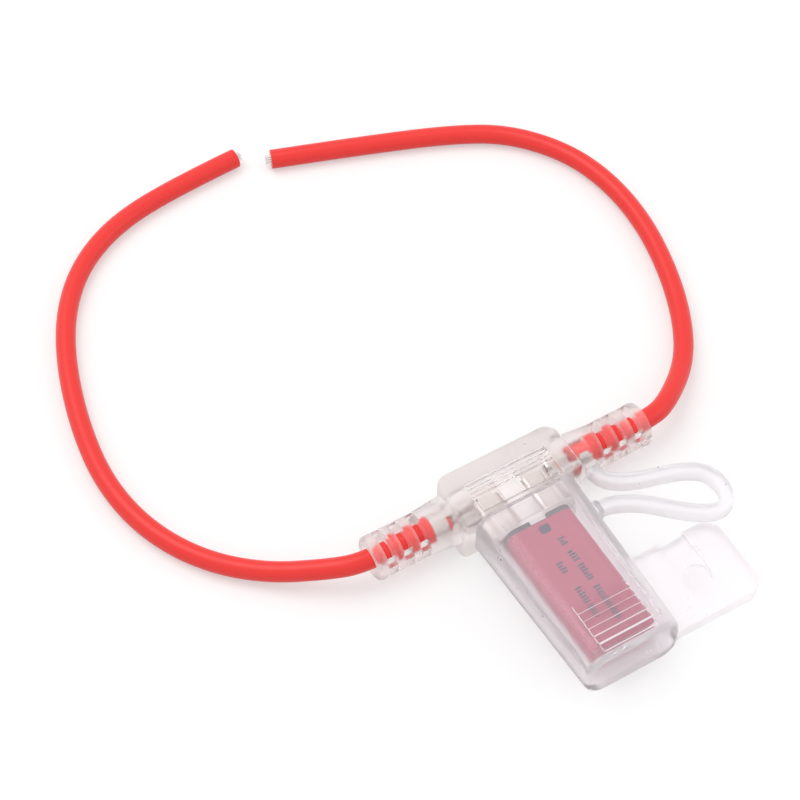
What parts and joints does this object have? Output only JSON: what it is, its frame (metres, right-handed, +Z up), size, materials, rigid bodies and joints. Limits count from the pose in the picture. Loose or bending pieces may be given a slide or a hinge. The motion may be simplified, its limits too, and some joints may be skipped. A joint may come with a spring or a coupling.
{
  "type": "inline fuse holder",
  "caption": "Clear T-shaped inline holder with slotted strain reliefs on red leads, a tethered pull-off cap with a mounting tab, and a plugged-in blade circuit breaker.",
  "frame": {"origin": "middle of the holder block's underside, on the surface that the part lies on, under the axis of the two leads", "axes": "+X along the leads towards the mounting tab's side, -Y the way the cap pulls off, +Z up from the resting surface"},
  "size_m": [0.0987, 0.1134, 0.0096],
  "materials": {
    "clear_body": "clear, slightly beige",
    "clear_cap": "frosted clear, slightly pink",
    "strap_plastic": "milky clear",
    "red_insulation": "satin red",
    "strand_metal": "tinned strands",
    "terminal_metal": "tin plated",
    "can_paint": "red, bare grey at the rim",
    "base_plastic": "white",
    "bimetal": "rolled strip",
    "contact_metal": "bright"
  },
  "bodies": {
    "holder": {"holder_body": "clear_body", "tether_strap": "strap_plastic", "terminal_left": "terminal_metal", "terminal_right": "terminal_metal", "conductor_left": "strand_metal", "conductor_right": "strand_metal", "insulation_left": "red_insulation", "insulation_right": "red_insulation", "lead_left": "red_insulation", "lead_right": "red_insulation", "strands_left": "strand_metal", "strands_right": "strand_metal"},
    "cap": {"cap": "clear_cap"},
    "breaker": {"breaker_can": "can_paint", "breaker_base": "base_plastic", "blade_left": "terminal_metal", "blade_right": "terminal_metal", "fixed_contact": "contact_metal"},
    "contact_arm": {"bimetal_arm": "bimetal", "moving_contact": "contact_metal"}
  },
  "joints": [
    {"name": "cap_pull", "type": "slide", "parent": "holder", "child": "cap", "axis": [0, -1, 0], "range_m": [0, 0.036], "deforming": ["tether_strap"]},
    {"name": "breaker_pull", "type": "slide", "parent": "holder", "child": "breaker", "axis": [0, -1, 0], "range_m": [0, 0.0101]},
    {"name": "contact_opening", "type": "hinge", "parent": "breaker", "child": "contact_arm", "pos_m": [0, -0.0102, 0.0052], "axis": [-1, 0, 0], "range_deg": [0, 3]}
  ],
  "couplings": [
    {"joint": "breaker_pull", "follows": "cap_pull", "ratio": 0.28}
  ]
}
